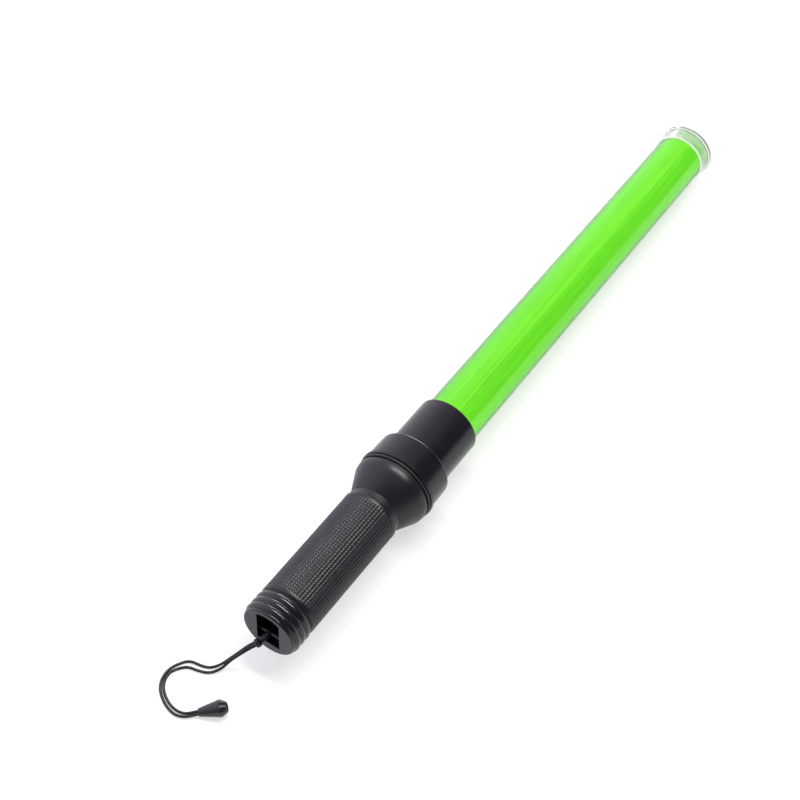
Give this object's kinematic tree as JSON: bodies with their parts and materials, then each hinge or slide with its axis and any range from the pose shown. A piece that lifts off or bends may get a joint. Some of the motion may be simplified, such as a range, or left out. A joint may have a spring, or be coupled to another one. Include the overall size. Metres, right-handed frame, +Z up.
{
  "type": "traffic baton light",
  "caption": "Hand-held signal baton: a long clear tube round a rolled green film on a knurled battery handle, with a twist head, a screw-on tail cap and a hang cord with a bell-shaped pull.",
  "frame": {"origin": "on the floor, midway between the two ends of the baton as it lies there on the rim of its head ring and the rim of its tip cap, without its cord", "axes": "+X along the baton from the tail cap to the tip, +Y to the left seen towards the tip, +Z up from the floor; the baton's own axis drops towards the tip by 0.769 degrees"},
  "size_m": [0.6037, 0.0725, 0.0548],
  "materials": {
    "black_plastic": "satin",
    "seal_rubber": "matte",
    "spring_steel": "satin",
    "nickel_strip": "satin",
    "brass_contact": "satin",
    "zinc_screw": "satin",
    "switch_board": "satin",
    "cell_core": "matte",
    "cell_jacket": "satin",
    "cell_metal": "satin",
    "circuit_board": "satin",
    "white_plastic": "satin",
    "led_epoxy": "polished",
    "chip_black": "matte",
    "resistor_ceramic": "satin",
    "clear_plastic": "polished",
    "green_film": "satin",
    "cord_fabric": "woven",
    "bell_plastic": "satin"
  },
  "bodies": {
    "handle": {"handle": "black_plastic", "head_gasket": "seal_rubber", "contact_strip": "nickel_strip", "switch_base": "switch_board", "centre_contact": "brass_contact", "flash_pad": "brass_contact", "steady_pad": "brass_contact", "switch_screws": "zinc_screw", "retaining_clip": "spring_steel", "cell_rear_base": "cell_metal", "cell_rear_core": "cell_core", "cell_rear_jacket": "cell_jacket", "cell_rear_cap": "cell_metal", "cell_front_base": "cell_metal", "cell_front_core": "cell_core", "cell_front_jacket": "cell_jacket", "cell_front_cap": "cell_metal"},
    "head": {"head_ring": "black_plastic", "collar": "black_plastic", "led_board": "circuit_board", "led_holder": "white_plastic", "led_1": "led_epoxy", "led_2": "led_epoxy", "led_3": "led_epoxy", "led_4": "led_epoxy", "led_5": "led_epoxy", "board_screws": "zinc_screw", "flasher_chip": "chip_black", "resistors": "resistor_ceramic", "wiper": "nickel_strip", "centre_spring": "spring_steel", "clear_tube": "clear_plastic", "green_film": "green_film", "tip_cap": "clear_plastic"},
    "cap seal": {"cap_o_ring": "seal_rubber"},
    "cap": {"tail_cap": "black_plastic", "tail_contact": "nickel_strip", "tail_spring": "spring_steel", "cord_over_bar": "cord_fabric", "cord_under_bar": "cord_fabric", "cord_hitch": "cord_fabric", "cord_bell": "bell_plastic", "bell_knot": "cord_fabric"}
  },
  "joints": [
    {"name": "head_turn", "type": "hinge", "parent": "handle", "child": "head", "pos_m": [-0.12499, 0, 0.02729], "axis": [0.9999, 0, -0.0134], "range_deg": [0, 90]},
    {"name": "cap_advance", "type": "slide", "parent": "handle", "child": "cap seal", "axis": [-0.9999, 0, 0.0134], "range_m": [0, 0.00751]},
    {"name": "cap_turn", "type": "hinge", "parent": "cap seal", "child": "cap", "pos_m": [-0.26998, 0, 0.02924], "axis": [-0.9999, 0, 0.0134], "range_deg": [0, 900]}
  ],
  "couplings": [
    {"joint": "cap_advance", "follows": "cap_turn", "m_per_rad": 0.00047746}
  ]
}
